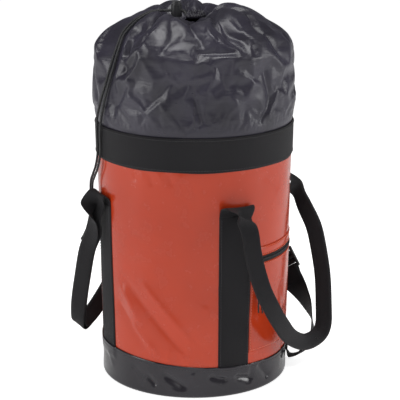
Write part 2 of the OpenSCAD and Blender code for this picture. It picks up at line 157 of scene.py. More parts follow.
# ---------------------------------------------------------------- materials
class Nodes:
    """Short names for the nodes of one material."""

    def __init__(self, name, colour, roughness, **settings):
        self.material = bpy.data.materials.new(name)
        self.material.use_nodes = True
        self.tree = self.material.node_tree
        self.shader = self.tree.nodes["Principled BSDF"]
        self.shader.inputs["Base Color"].default_value = (*colour, 1)
        self.shader.inputs["Roughness"].default_value = roughness
        for key, value in settings.items():
            self.shader.inputs[key.replace("_", " ")].default_value = value

    def add(self, kind, links=(), **settings):
        n = self.tree.nodes.new("ShaderNode" + kind)
        for key, value in settings.items():
            if hasattr(n, key):
                setattr(n, key, value)
            else:
                n.inputs[key.replace("_", " ")].default_value = value
        for socket, source in links:
            self.tree.links.new(source, n.inputs[socket])
        return n

    def place(self, scale=(1, 1, 1), attribute=None):
        if attribute:
            source = self.add("Attribute", attribute_name=attribute).outputs["Vector"]
        else:
            source = self.add("TexCoord").outputs["Object"]
        return self.add("Mapping", [("Vector", source)], Scale=scale).outputs["Vector"]

    def noise(self, scale, detail=3, stretch=(1, 1, 1)):
        n = self.add("TexNoise", [("Vector", self.place(stretch))], Scale=scale, Detail=detail)
        return n.outputs["Fac"]

    def wave(self, scale, direction, attribute, distortion=0.0):
        """Bands that are 314 / scale mm long."""
        n = self.add("TexWave", [("Vector", self.place((1, 1, 1), attribute))], Scale=scale,
                     bands_direction=direction, Distortion=distortion)
        return n.outputs["Fac"]

    def maths(self, operation, a, b):
        n = self.add("Math", operation=operation)
        for k, v in enumerate((a, b)):
            if isinstance(v, (int, float)):
                n.inputs[k].default_value = v
            else:
                self.tree.links.new(v, n.inputs[k])
        return n.outputs[0]

    def spread(self, value, low, high, start=0.3, end=0.7):
        n = self.add("MapRange", [("Value", value)])
        for key, x in (("From Min", start), ("From Max", end), ("To Min", low), ("To Max", high)):
            n.inputs[key].default_value = x
        return n.outputs["Result"]

    def colours(self, value, low, high, start=0.3, end=0.7):
        n = self.add("ValToRGB", [("Fac", value)])
        n.color_ramp.elements[0].color = (*low, 1)
        n.color_ramp.elements[1].color = (*high, 1)
        n.color_ramp.elements[0].position = start
        n.color_ramp.elements[1].position = end
        self.tree.links.new(n.outputs["Color"], self.shader.inputs["Base Color"])

    def rough(self, value, low, high, start=0.3, end=0.7):
        self.tree.links.new(self.spread(value, low, high, start, end), self.shader.inputs["Roughness"])

    def bumps(self, *layers):
        """Each layer is (height, depth in metres)."""
        normal = None
        for height, depth in layers:
            n = self.add("Bump", [("Height", height)], Strength=1.0, Distance=depth)
            if normal:
                self.tree.links.new(normal, n.inputs["Normal"])
            normal = n.outputs["Normal"]
        self.tree.links.new(normal, self.shader.inputs["Normal"])


def pvc(name, low, high, roughness):
    """Coated fabric: glossy skin, faint scrim under it, soft waviness and fine scuffs."""
    m = Nodes(name, high, roughness, Coat_Weight=0.16, Coat_Roughness=0.08, Specular_IOR_Level=0.42)
    m.colours(m.noise(5, 4), low, high)
    scuff = m.noise(60, 6)
    m.rough(scuff, roughness - 0.05, roughness + 0.14, 0.45, 0.75)
    scrim = m.maths("ADD", m.wave(320, "X", "lay"), m.wave(320, "Y", "lay"))
    m.bumps((m.noise(9, 2), 1.5 * MM), (m.noise(38, 3), 0.09 * MM), (scrim, 0.012 * MM))
    return m.material


def woven(name, low, high, rib, fine, depth):
    """Webbing: ribs across the strap, a twill in them, and fuzz on the worn edges. The colour follows the
    ribs' height: painted shade in the grooves and painted highlight on the crests.
    """
    m = Nodes(name, high, 0.6, Sheen_Weight=0.04, Sheen_Roughness=0.5, Specular_IOR_Level=0.2)
    ribs = m.wave(rib, "X", "lay", 0.4)
    twill = m.wave(fine, "DIAGONAL", "lay")
    weave = m.maths("ADD", ribs, m.maths("MULTIPLY", twill, 0.45))
    fuzz = m.noise(700, 3)
    # Painted shade in the grooves between the ribs and painted highlight on their crests, mixed with the
    # fuzz's random tone.
    m.colours(m.maths("MULTIPLY", m.maths("ADD", weave, fuzz), 0.42), low, high, 0.2, 0.85)
    m.bumps((m.noise(40, 3), 0.35 * MM), (weave, depth), (fuzz, 0.08 * MM))
    return m.material


def nylon():
    """Thin coated nylon: a fine plain weave, crumple creases that run mostly level, and a soft sheen."""
    m = Nodes("hood_nylon", (0.03, 0.028, 0.04), 0.36, Sheen_Weight=0.05, Sheen_Roughness=0.35,
              Specular_IOR_Level=0.55)
    m.shader.inputs["Sheen Tint"].default_value = (0.75, 0.72, 1, 1)
    m.colours(m.noise(14, 4), (0.011, 0.0095, 0.016), (0.028, 0.025, 0.040))
    m.rough(m.noise(30, 4, (1, 1, 2.5)), 0.27, 0.42)
    weave = m.maths("ADD", m.wave(260, "X", "lay"), m.wave(260, "Y", "lay"))
    crumple = m.noise(34, 5, (0.6, 0.6, 2.6))
    fine = m.noise(110, 4, (0.5, 0.5, 2.2))
    swell = m.noise(13, 3, (1, 1, 1.6))
    m.bumps((swell, 3.2 * MM), (crumple, 1.2 * MM), (fine, 0.3 * MM), (weave, 0.03 * MM))
    return m.material


def braided(name, colour):
    """Braided cord: two sets of strands that cross round it, with painted shade in the gaps between them and
    painted highlight on their crests.
    """
    m = Nodes(name, colour, 0.6, Sheen_Weight=0.06, Sheen_Roughness=0.5)
    strands = m.maths("MAXIMUM", m.wave(1, "DIAGONAL", "braid_a"), m.wave(1, "DIAGONAL", "braid_b"))
    # Painted shade in the gaps between the strands, painted highlight on their crests.
    m.colours(strands, tuple(c * 0.4 for c in colour), tuple(c * 1.7 for c in colour), 0.1, 0.9)
    m.bumps((strands, 0.35 * MM), (m.noise(900, 2), 0.05 * MM))
    return m.material


def moulded(name, colour, roughness, **settings):
    """Moulded plastic with a fine spark texture, mould flow and a few scratches."""
    m = Nodes(name, colour, roughness, **settings)
    m.colours(m.noise(120, 3), tuple(c * 0.75 for c in colour), tuple(c * 1.35 for c in colour))
    m.rough(m.noise(300, 5, (1, 1, 0.1)), roughness - 0.06, roughness + 0.16)
    m.bumps((m.noise(900, 2), 0.05 * MM), (m.noise(140, 3), 0.1 * MM))
    return m.material


def steel():
    """Bare wire, duller in places."""
    m = Nodes("spring_steel", (0.6, 0.6, 0.62), 0.3, Metallic=1.0)
    m.rough(m.noise(1500, 3, (1, 1, 6)), 0.2, 0.42)
    m.bumps((m.noise(1500, 2), 0.02 * MM))
    return m.material


def board():
    """The stiff dark disc in the base."""
    m = Nodes("base_board", (0.05, 0.05, 0.05), 0.75)
    m.colours(m.noise(220, 5), (0.03, 0.03, 0.03), (0.08, 0.078, 0.075))
    m.bumps((m.noise(260, 4), 0.2 * MM))
    return m.material


def thread(name, colour):
    """Sewing thread, a little uneven in colour."""
    m = Nodes(name, colour, 0.55, Sheen_Weight=0.08)
    m.colours(m.noise(1500, 2), tuple(c * 0.7 for c in colour), tuple(min(1, c * 1.25) for c in colour))
    m.bumps((m.noise(2500, 2), 0.06 * MM))
    return m.material


def floor_material():
    """Plain and pale, and dimmed in reflections, so that the boot doesn't mirror it as white."""
    m = Nodes("floor", (0.85, 0.85, 0.85), 0.6, Specular_IOR_Level=0.1, Emission_Strength=0.72)
    m.shader.inputs["Emission Color"].default_value = (1, 1, 1, 1)
    m.bumps((m.noise(60, 2), 0.05 * MM))
    shade = m.add("BsdfDiffuse", Color=(0.02, 0.02, 0.02, 1))
    dim = m.maths("MULTIPLY", m.add("LightPath").outputs["Is Glossy Ray"], 0.45)
    mix = m.add("MixShader", [(0, dim), (1, m.shader.outputs[0]), (2, shade.outputs[0])])
    m.tree.links.new(mix.outputs[0], m.tree.nodes["Material Output"].inputs["Surface"])
    return m.material


MATERIALS = {
    "orange_pvc": pvc("orange_pvc", (0.35, 0.029, 0.0065), (0.43, 0.039, 0.010), 0.22),
    "black_pvc": pvc("black_pvc", (0.009, 0.008, 0.0105), (0.022, 0.020, 0.025), 0.17),
    "hood_nylon": nylon(),
    "webbing": woven("webbing", (0.003, 0.003, 0.0035), (0.018, 0.0165, 0.0195), 320, 500, 0.28 * MM),
    "zip_tape": woven("zip_tape", (0.004, 0.004, 0.004), (0.02, 0.02, 0.022), 900, 1200, 0.1 * MM),
    "cord": braided("cord", (0.012, 0.012, 0.013)),
    "cord_tip": moulded("cord_tip", (0.02, 0.02, 0.02), 0.4),
    "spring_steel": steel(),
    "zip_plastic": moulded("zip_plastic", (0.025, 0.025, 0.027), 0.42),
    "black_plastic": moulded("black_plastic", (0.018, 0.018, 0.02), 0.34, Specular_IOR_Level=0.6),
    "base_board": board(),
    "black_thread": thread("black_thread", (0.03, 0.028, 0.032)),
    "orange_thread": thread("orange_thread", (0.72, 0.16, 0.08)),
}


def finish_piece(obj, slot, body=None, stands_for=(), material=None):
    """Gives a piece its material, named by slot unless material is given, hides the nodes it stands for and
    attaches it to the body it rides on.
    """
    obj.data.materials.append(MATERIALS[material or slot])
    if stands_for:
        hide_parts(*stands_for)
    if body:
        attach(obj, body)
    return obj


# ---------------------------------------------------------------- mesh helpers
def unit(v):
    """The vector, or each row, at length 1."""
    v = np.asarray(v, float)
    return v / np.maximum(np.linalg.norm(v, axis=-1, keepdims=True), 1e-12)


def new_mesh(name, points, faces, lay=None, smooth=True):
    mesh = bpy.data.meshes.new(name)
    mesh.from_pydata([tuple(p) for p in points], [], [tuple(int(i) for i in f) for f in faces])
    mesh.validate()
    if lay is not None:
        attribute = mesh.attributes.new("lay", "FLOAT_VECTOR", "POINT")
        attribute.data.foreach_set("vector", np.asarray(lay, np.float32).ravel())
    mesh.polygons.foreach_set("use_smooth", [smooth] * len(mesh.polygons))
    obj = bpy.data.objects.new(name, mesh)
    bpy.context.scene.collection.objects.link(obj)
    return obj


def write_vectors(obj, name, values):
    """Stores a vector for each vertex, which a material reads by name."""
    attribute = obj.data.attributes.new(name, "FLOAT_VECTOR", "POINT")
    attribute.data.foreach_set("vector", np.asarray(values, np.float32).ravel())


def grid_faces(rows, cols, closed, first=0, flip=False):
    """Quads over a grid of points whose first index is first. closed joins the last column to the first."""
    faces = []
    for i in range(rows - 1):
        for k in range(cols if closed else cols - 1):
            a, b = first + i * cols + k, first + i * cols + (k + 1) % cols
            quad = (a, b, b + cols, a + cols)
            faces.append(quad[::-1] if flip else quad)
    return faces


def slab(name, outer, inner, lay, closed=False):
    """A closed cloth between two grids of points (rows, columns, 3), with its edges shut."""
    rows, cols = outer.shape[:2]
    n = rows * cols
    faces = grid_faces(rows, cols, closed) + grid_faces(rows, cols, closed, n, True)
    for k in range(cols if closed else cols - 1):
        a, b = k, (k + 1) % cols
        faces.append((a, a + n, b + n, b))
        c, d = (rows - 1) * cols + k, (rows - 1) * cols + (k + 1) % cols
        faces.append((c, d, d + n, c + n))
    if not closed:
        for i in range(rows - 1):
            a, b = i * cols, (i + 1) * cols
            faces.append((a, b, b + n, a + n))
            c, d = a + cols - 1, b + cols - 1
            faces.append((c, c + n, d + n, d))
    points = np.vstack([outer.reshape(-1, 3), inner.reshape(-1, 3)])
    flat = np.asarray(lay).reshape(-1, 3)
    return new_mesh(name, points, faces, np.vstack([flat, flat]))


def join(name, objects):
    with bpy.context.temp_override(active_object=objects[0], selected_editable_objects=objects):
        bpy.ops.object.join()
    objects[0].name = name
    return objects[0]


def catmull(points, n):
    """The part's own smooth curve: through every point, with n steps between neighbours."""
    p = np.asarray(points, float)
    out = []
    for i in range(len(p) - 1):
        a, b, c, d = p[max(i - 1, 0)], p[i], p[i + 1], p[min(i + 2, len(p) - 1)]
        for k in range(n):
            t = k / n
            out.append(0.5 * (2 * b + (c - a) * t + (2 * a - 5 * b + 4 * c - d) * t * t
                              + (3 * b - a - 3 * c + d) * t ** 3))
    out.append(p[-1])
    return np.array(out)


def headings(p):
    """The path's direction at each point."""
    ahead = np.vstack([p[1:], p[-1:]])
    behind = np.vstack([p[:1], p[:-1]])
    return unit(ahead - behind)


def along(p):
    """The distance of each point from the first, along the path."""
    return np.concatenate([[0], np.cumsum(np.linalg.norm(np.diff(p, axis=0), axis=1))])


def step(x, low, high):
    """0 up to low, 1 from high, and a smooth rise between."""
    t = np.clip((np.asarray(x, float) - low) / (high - low), 0, 1)
    return t * t * (3 - 2 * t)


def turn(az, at):
    """How far az lies from at, from -180 to 180 degrees."""
    return (np.asarray(az) - at + 180) % 360 - 180


def around(r, a, z):
    """Points at radius r, at a radians round the bag."""
    return np.stack(np.broadcast_arrays(r * np.sin(a), -r * np.cos(a), z), axis=-1)


def facing(a):
    """The directions outward and sideways at a radians round the bag."""
    return np.array([math.sin(a), -math.cos(a), 0]), np.array([math.cos(a), math.sin(a), 0])


def flat_round(az, z):
    """Where a point of the wall lies in the flat cloth."""
    return np.stack([np.radians(az) * RIM_R, z, np.zeros_like(z)], axis=-1)


def selvedge(q):
    """Thins webbing towards both edges, where q is -1 and 1."""
    return np.sqrt(np.clip(1 - np.abs(q) ** 10, 0.12, 1))


# ---------------------------------------------------------------- the drum's surface, with its dents
def wall_r(z):
    """The tapered wall's radius at a height."""
    return BASE_R + (RIM_R - BASE_R) * (np.asarray(z, float) - BASE_Z) / (RIM_TOP - BASE_Z)


def crease(az, z, line):
    """A sharp-crested fold along a line on the drum."""
    a0, z0, a1, z1, half, depth = line
    x, y = np.radians(turn(az, a0)) * RIM_R, np.asarray(z) - z0 * MM
    dx, dy = math.radians(a1 - a0) * RIM_R, (z1 - z0) * MM
    t = np.clip((x * dx + y * dy) / math.hypot(dx, dy) ** 2, 0, 1)
    off = np.hypot(x - t * dx, y - t * dy) / (half * MM)
    ends = np.sqrt(np.clip(1 - (2 * t - 1) ** 4, 0.05, 1))
    return depth * MM * ends * np.exp(-np.sqrt(off ** 2 + 0.05) + 0.22)


# Azimuth and height (mm) of both ends, half width and depth in mm.
WALL_CREASES = [
    (-25, 172, 16, 70, 9, -4.0), (-12, 176, 22, 84, 7, 3.4), (-31, 132, -9, 70, 9, -3.6),
    (-28, 160, -14, 112, 7, 3.0), (-20, 104, 2, 60, 7, 2.8),
    (27, 140, 36, 172, 10, -1.8), (14, 108, 32, 66, 9, -1.6),
    (60, 170, 76, 100, 10, 1.8), (57, 120, 72, 78, 9, -1.8), (84, 150, 100, 90, 12, -1.6),
    (-15, 336, -14, 322, 3, -1.1), (-10, 337, -9, 327, 3, 0.8), (-5, 337, -3, 318, 3.5, -1.3),
    (1, 338, 3, 324, 3, 0.9), (7, 338, 9, 320, 3.5, -1.2), (14, 338, 15, 326, 3, 0.8),
    (1, 56, 0, 72, 3, -1.1), (5, 56, 7, 74, 3, 1.0), (9, 55, 12, 68, 3, -1.0), (17, 52, 19, 66, 4, 0.9),
    (66, 330, 80, 300, 8, -1.2), (98, 325, 110, 280, 9, -1.4), (150, 160, 186, 70, 13, -2.6),
    (168, 180, 200, 110, 9, 1.8), (205, 130, 225, 68, 11, -2.2), (160, 330, 162, 312, 4, -1.2),
    (190, 332, 194, 308, 4, -1.2), (250, 200, 272, 96, 13, -2.4), (240, 320, 262, 290, 8, -1.4),
    (262, 330, 266, 310, 4, 1.0), (278, 240, 300, 180, 10, -1.6), (255, 100, 285, 66, 9, 1.6),
]
BOOT_CREASES = [
    (2, 36, 17, 16, 7, -5.2), (20, 40, 24, 20, 5, 2.2), (30, 34, 42, 26, 5, -4.2), (47, 30, 60, 20, 6, -4.6),
    (-8, 30, -2, 16, 4, -3.2), (64, 40, 74, 12, 5, -3.4), (-20, 40, -8, 24, 8, -2.0),
    (-44, 46, -38, 24, 7, 1.2),
    (90, 34, 108, 18, 8, -2.6), (130, 40, 150, 20, 8, -2.4), (168, 34, 190, 26, 7, 1.6),
    (205, 42, 222, 18, 8, -2.8), (246, 40, 262, 24, 7, -2.2), (285, 40, 300, 20, 8, -2.4),
]


def dent(az, z):
    """How far the drum's wall is pushed out or in. It fades where the cords hang close to the wall."""
    az, z = np.broadcast_arrays(np.asarray(az, float), np.asarray(z, float))
    d = np.zeros(az.shape)
    for line in WALL_CREASES:
        d = d + crease(az, z, line)
    for line in BOOT_CREASES:
        d = d + crease(az, z, line) * step(z, 0.006, 0.016)
    wave = 0.7 * np.sin(np.radians(3 * az + 40)) * np.sin(z * 17 + 1)
    wave = wave + 0.5 * np.sin(np.radians(5 * az)) * np.sin(z * 23)
    d = d + wave * MM
    near_cord = (1 - step(np.abs(turn(az, TAILS_AZ)), 9, 22)) * step(z, 0.2, 0.25)
    d = np.where(d > 0, d * (1 - 0.9 * near_cord), d * (1 - 0.5 * near_cord))
    under_band = step(z, RIM_TOP - WEB_W - 6 * MM, RIM_TOP - WEB_W + 4 * MM)
    return d * step(z, 0.0, 0.012) * (1 - 0.75 * under_band)


def drum(az, z, proud=0.0):
    """Points on the dented wall, proud metres outside it."""
    return around(wall_r(z) + dent(az, z) + proud, np.radians(az), z)


def boot_edge(az):
    """The height of the boot's sloping top edge."""
    return BOOT_H - BOOT_SLOPE * BASE_R * np.sin(np.radians(az))


def strip_cover(az):
    """1 where a vertical strip lies under the boot, 0 elsewhere."""
    return sum(1 - step(np.abs(turn(az, at)), HALF_STRIP - 0.3, HALF_STRIP + 1.6) for at in STRIPS.values())


def arc_plate(name, az0, az1, z0, z1, cell=3 * MM):
    """A second layer that lies on the drum. z0 and z1 are heights or functions of the azimuth."""
    cols = max(4, int(math.radians(az1 - az0) * RIM_R / cell))
    az = np.linspace(az0, az1, cols)
    low = z0(az) if callable(z0) else np.full(cols, z0)
    high = z1(az) if callable(z1) else np.full(cols, z1)
    rows = max(4, int((high.max() - low.min()) / cell))
    t, side = np.linspace(0, 1, rows)[:, None], np.linspace(0, 1, cols)
    z = low + (high - low) * t
    a = np.broadcast_to(az, z.shape)
    rim = np.minimum(np.minimum(t, 1 - t) * rows, np.minimum(side, 1 - side) * cols) / 1.2
    soft = PVC_T * (0.55 + 0.45 * np.minimum(1, rim))
    return slab(name, drum(a, z, GAP + soft), drum(a, z, GAP), flat_round(a, z))


# ---------------------------------------------------------------- stitches
def stitches(name, path, normals, slot, pitch=4.2 * MM, length=3.0 * MM, radius=0.42 * MM):
    """A row of thread stitches that lie on a surface along a path. Each is a bowed spindle of five rings."""
    path, normals = np.asarray(path), np.asarray(normals)
    sides, rings = 6, ((-0.5, 0.25), (-0.36, 0.85), (0, 1.0), (0.36, 0.85), (0.5, 0.25))
    d = along(path)

    def at_distance(values, x):
        return np.array([np.interp(x, d, values[:, k]) for k in range(3)])

    count = max(1, int(d[-1] / pitch))
    points, faces = [], []
    for i in range(count):
        at = (i + 0.5) * d[-1] / count
        p = at_distance(path, at)
        n = unit(at_distance(normals, at))
        go = unit(at_distance(path, at + 0.5 * MM) - p)
        side = unit(np.cross(go, n))
        first = len(points)
        for t, size in rings:
            dip = (1 - (2 * t) ** 2) * radius * 0.9 - 0.15 * radius
            for k in range(sides):
                a = k * 2 * math.pi / sides
                lift = dip + size * radius * math.sin(a)
                points.append(p + go * t * length + n * lift + side * size * radius * math.cos(a))
        faces += grid_faces(len(rings), sides, True, first)
        faces.append(tuple(first + k for k in reversed(range(sides))))
        faces.append(tuple(first + (len(rings) - 1) * sides + k for k in range(sides)))
    thread_name = "orange_thread" if slot == "orange_pvc" else "black_thread"
    finish_piece(new_mesh(name, points, faces), slot, "bag", material=thread_name)


def outward(points):
    """The level direction away from the bag's axis at each point."""
    out = np.array(points, float)
    out[:, 2] = 0
    return unit(out)


def level_stitches(name, z, proud, az0, az1, slot):
    az = np.linspace(az0, az1, max(8, int((az1 - az0) * 1.5)))
    path = drum(az, np.full(len(az), z), proud)
    stitches(name, path, outward(path), slot)


def upright_stitches(name, az, z0, z1, proud, slot):
    z = np.linspace(z0, z1, max(8, int((z1 - z0) / (3 * MM))))
    path = drum(np.full(len(z), az), z, proud)
    stitches(name, path, outward(path), slot)


# ---------------------------------------------------------------- cords
TAIL_REAR = [
    (-0.0435, -0.015, 0.548), (-0.057, -0.024, 0.547), (-0.068, -0.044, 0.541), (-0.078, -0.059, 0.531),
    (-0.082, -0.074, 0.521), (-0.081, -0.089, 0.511), (-0.081, -0.107, 0.493), (-0.084, -0.116, 0.474),
    (-0.090, -0.116, 0.454), (-0.097, -0.113, 0.437), (-0.105, -0.107, 0.417), (-0.111, -0.101, 0.400),
    (-0.113, -0.098, 0.380), (-0.113, -0.097, 0.350), (-0.118, -0.093, 0.328), (-0.128, -0.082, 0.311),
    (-0.137, -0.071, 0.296), (-0.140, -0.067, 0.270), (-0.142, -0.066, 0.242), (-0.148, -0.066, 0.218)]
TAIL_FRONT = [
    (-0.0419, -0.019, 0.548), (-0.053, -0.031, 0.547), (-0.063, -0.051, 0.541), (-0.072, -0.067, 0.530),
    (-0.076, -0.082, 0.520), (-0.075, -0.096, 0.510), (-0.074, -0.113, 0.493), (-0.077, -0.121, 0.474),
    (-0.083, -0.122, 0.454), (-0.089, -0.119, 0.437), (-0.095, -0.116, 0.417), (-0.100, -0.112, 0.400),
    (-0.104, -0.107, 0.378), (-0.104, -0.107, 0.350), (-0.111, -0.102, 0.326), (-0.123, -0.088, 0.308),
    (-0.131, -0.078, 0.295), (-0.133, -0.075, 0.272), (-0.133, -0.076, 0.254)]
TIP_REAR = [(-0.148, -0.066, 0.218), (-0.152, -0.066, 0.209), (-0.157, -0.066, 0.202)]
TIP_FRONT = [(-0.133, -0.076, 0.254), (-0.133, -0.076, 0.245), (-0.134, -0.077, 0.238)]
TAIL_ACROSS = (0.37, -0.93, 0)


def tube(name, path, diameter, across, sides=12, sizes=None):
    """A round cord along a path, with the attributes that its braid follows."""
    p = np.asarray(path, float)
    go = headings(p)
    e = unit(np.asarray(across) - (go @ np.asarray(across))[:, None] * go)
    f = np.cross(go, e)
    angle = np.arange(sides) * 2 * math.pi / sides
    size = (np.ones(len(p)) if sizes is None else np.asarray(sizes))[:, None, None] * diameter / 2
    ring = np.cos(angle)[None, :, None] * e[:, None, :] + np.sin(angle)[None, :, None] * f[:, None, :]
    faces = grid_faces(len(p), sides, True)
    faces.append(tuple(reversed(range(sides))))
    faces.append(tuple((len(p) - 1) * sides + k for k in range(sides)))
    obj = new_mesh(name, (p[:, None, :] + size * ring).reshape(-1, 3), faces)
    strands = 6
    wave = math.pi / 10                # the length of one band of the wave texture
    lay = diameter * 1.1               # how far along the cord the next strand crosses
    d = np.repeat(along(p), sides)
    a = np.tile(angle, len(p))
    for attribute, sign in (("braid_a", 1), ("braid_b", -1)):
        phase = (d / lay + sign * a * strands / (2 * math.pi)) * wave
        write_vectors(obj, attribute, np.stack([phase, np.zeros_like(d), np.zeros_like(d)], axis=-1))
    return obj


def tip_piece(name, path, node):
    """A shrunk sleeve that ends a cord, with a rounded mouth and a pinched end."""
    p = catmull(path, 8)
    t = np.linspace(0, 1, len(p))
    sizes = 0.94 + 0.1 * np.sin(math.pi * t) - 0.5 * step(t, 0.86, 1.0) - 0.12 * (1 - step(t, 0, 0.08))
    return finish_piece(tube(name, p, CORD_D + 1 * MM, TAIL_ACROSS, 16, sizes), "cord_tip", "bag", [node])


def cords():
    """The two free tails and their tips. Each length runs from the lock to the end of the tip."""
    tails = (("rear", TAIL_REAR, TIP_REAR, 0.435), ("front", TAIL_FRONT, TIP_FRONT, 0.397))
    for name, route, tip, length in tails:
        end = tip_piece(f"cord_tip_{name}_sleeve", tip, f"cord_tip_{name}")
        path = catmull(route, 10)
        tail = tube(f"drawcord_tail_{name}_braid", path, CORD_D, TAIL_ACROSS)
        finish_piece(tail, "cord", "bag", [f"drawcord_tail_{name}"])


def drawcord():
    """The cord inside the hem and its two runs through the lock."""
    side = CORD_GAP / 2
    lead = [(45.9 * MM, side, CORD_Z), (34 * MM, side, CORD_Z), (17.5 * MM, side, CORD_Z)]
    lead.append((13.5 * MM, 4.6 * MM, 545 * MM))
    bend = np.radians(range(35, 326, 10))
    loop = [(HEM_R * math.cos(a), HEM_R * math.sin(a), HEM_Z) for a in bend]
    back = [(x, -y, z) for x, y, z in reversed(lead)]
    c, s = math.cos(CORD_AZ), math.sin(CORD_AZ)
    path = [(c * x - s * y, s * x + c * y, z) for x, y, z in lead + loop + back]
    finish_piece(tube("drawcord_braid", catmull(path, 5), CORD_D, (0, 0, 1)), "cord", "bag", ["drawcord"])


# ---------------------------------------------------------------- the drum's pieces
def body_panel():
    """The orange wall, and the welded and stitched overlap at its back."""
    cols, rows = 360, 150
    az = np.linspace(-180, 180, cols, endpoint=False)
    a, z = np.broadcast_arrays(az, np.linspace(BASE_Z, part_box("body_panel")[1].z, rows)[:, None])
    obj = slab("body_panel_skin", drum(a, z), drum(a, z, -WALL_T), flat_round(a, z), True)
    finish_piece(obj, "orange_pvc", "bag", ["body_panel"])
    seam = arc_plate("back_seam_overlap", 176, 184, lambda q: boot_edge(q) - 6 * MM, 338 * MM)
    finish_piece(seam, "orange_pvc", "bag", ["back_seam"])
    for k, at in enumerate((177.0, 183.0)):
        upright_stitches(f"back_seam_stitches_{k}", at, 60 * MM, 336 * MM, PVC_T, "orange_pvc")


def boot():
    """The black boot and the underside, one skin with a rounded corner that swells over the strips' ends."""
    cols, flat_rows, turn_rows, wall_rows = 320, 10, 7, 34
    corner, skin, foot = 5 * MM, 1.4 * MM, BASE_R + BOOT_T
    az = np.linspace(-180, 180, cols, endpoint=False)
    a = np.radians(az)
    edge = boot_edge(az)
    swell = strip_cover(az) * WEB_T
    outer, inner, lay = [], [], []
    for r in np.linspace(8 * MM, foot - corner, flat_rows):
        outer.append(around(r, a, 0))
        inner.append(around(r, a, skin))
        lay.append(np.stack([r * np.sin(a), r * np.cos(a), np.zeros(cols)], -1))
    for t in np.linspace(0, 1, turn_rows + 2)[1:-1]:
        b = t * math.pi / 2
        r, z = foot - corner + corner * math.sin(b), corner - corner * math.cos(b)
        outer.append(around(r, a, z))
        inner.append(around(r - skin * math.sin(b), a, z + skin * math.cos(b)))
        lay.append(flat_round(az, np.full(cols, z)))
    for t in np.linspace(0, 1, wall_rows):
        z = corner + (edge - corner) * t
        over = swell * step(z, edge - 22 * MM, edge - 12 * MM)
        lip = 0.25 * MM * step(t, 0.93, 0.97)
        outer.append(drum(az, z, GAP + BOOT_T * (1 - 0.35 * step(t, 0.985, 1.0)) + over + lip))
        inner.append(drum(az, z, GAP + over))
        lay.append(flat_round(az, z))
    skin_mesh = slab("base_boot_skin", np.array(outer), np.array(inner), np.array(lay), True)
    middle = [tuple(p) for p in outer[0]] + [(0, 0, 0)]
    plug = new_mesh("base_boot_middle", middle, [((k + 1) % cols, k, cols) for k in range(cols)], middle)
    finish_piece(join("base_boot_skin", [skin_mesh, plug]), "black_pvc", "bag", ["base_boot"])
    az = np.linspace(-180, 180, 400)
    path = drum(az, boot_edge(az) - 5 * MM, BOOT_T + strip_cover(az) * WEB_T)
    stitches("base_boot_stitches", path, outward(path), "black_pvc")


def band():
    """The webbing round the rim, which sags a little between its stitches."""
    cols, rows = 360, 24
    az = np.linspace(-180, 180, cols, endpoint=False)
    t = np.linspace(0, 1, rows)[:, None]
    a = np.broadcast_to(az, (rows, cols))
    sag = (0.35 * np.sin(np.radians(7 * a + 30)) + 0.25 * np.sin(np.radians(11 * a))) * MM
    z = RIM_LOW + (RIM_TOP - RIM_LOW) * t + sag * (1 - t)
    soft = WEB_T * (0.45 + 0.55 * np.minimum(1, np.minimum(t, 1 - t) * rows / 1.5))
    obj = slab("rim_band_webbing", drum(a, z, GAP + soft), drum(a, z, GAP), flat_round(a, z), True)
    finish_piece(obj, "webbing", "bag", ["rim_band"])
    for k, z in enumerate((RIM_LOW + 3.5 * MM, RIM_TOP - 3.5 * MM)):
        level_stitches(f"rim_band_stitches_{k}", z, WEB_T + GAP, -180, 180, "webbing")


def strips():
    """The four upright strips, whose lower ends go in under the boot."""
    cols, rows = 19, 92
    for name, at in STRIPS.items():
        az = np.linspace(at - HALF_STRIP, at + HALF_STRIP, cols)
        low = boot_edge(az) - 9 * MM
        z = low + (STRIP_TOP - low) * np.linspace(0, 1, rows)[:, None]
        a = np.broadcast_to(az, z.shape)
        q = np.broadcast_to(np.linspace(-1, 1, cols), z.shape)
        lay = np.stack([z, q * WEB_W / 2, np.zeros_like(z)], axis=-1)
        obj = slab(f"strip_{name}_webbing", drum(a, z, GAP + WEB_T * selvedge(q)), drum(a, z, GAP), lay)
        finish_piece(obj, "webbing", "bag", [f"strip_{name}"])
        for k, off in enumerate((-HALF_STRIP + 1.3, HALF_STRIP - 1.3)):
            upright_stitches(f"strip_{name}_stitches_{k}", at + off, float(low[0]) + 10 * MM,
                             STRIP_TOP - 4 * MM, WEB_T, "webbing")


# ---------------------------------------------------------------- webbing ribbons
def fold_section(opening, width, cols):
    """Points and normals across webbing that is folded lengthwise: opening is 180 flat and 0 shut."""
    bend = 4.2 * MM
    q = np.linspace(-0.5, 0.5, cols) * width
    lean = np.radians(180 - opening) * step(q, -bend, bend)
    mid = np.radians(180 - opening) * step((q[1:] + q[:-1]) / 2, -bend, bend)
    x = np.concatenate([[0], np.cumsum(np.cos(mid) * np.diff(q))])
    y = np.concatenate([[0], np.cumsum(np.sin(mid) * np.diff(q))])
    x = x - (x.max() + x.min()) / 2
    y = y - y.mean()
    return -x[::-1], y[::-1], np.sin(lean)[::-1], np.cos(lean)[::-1]


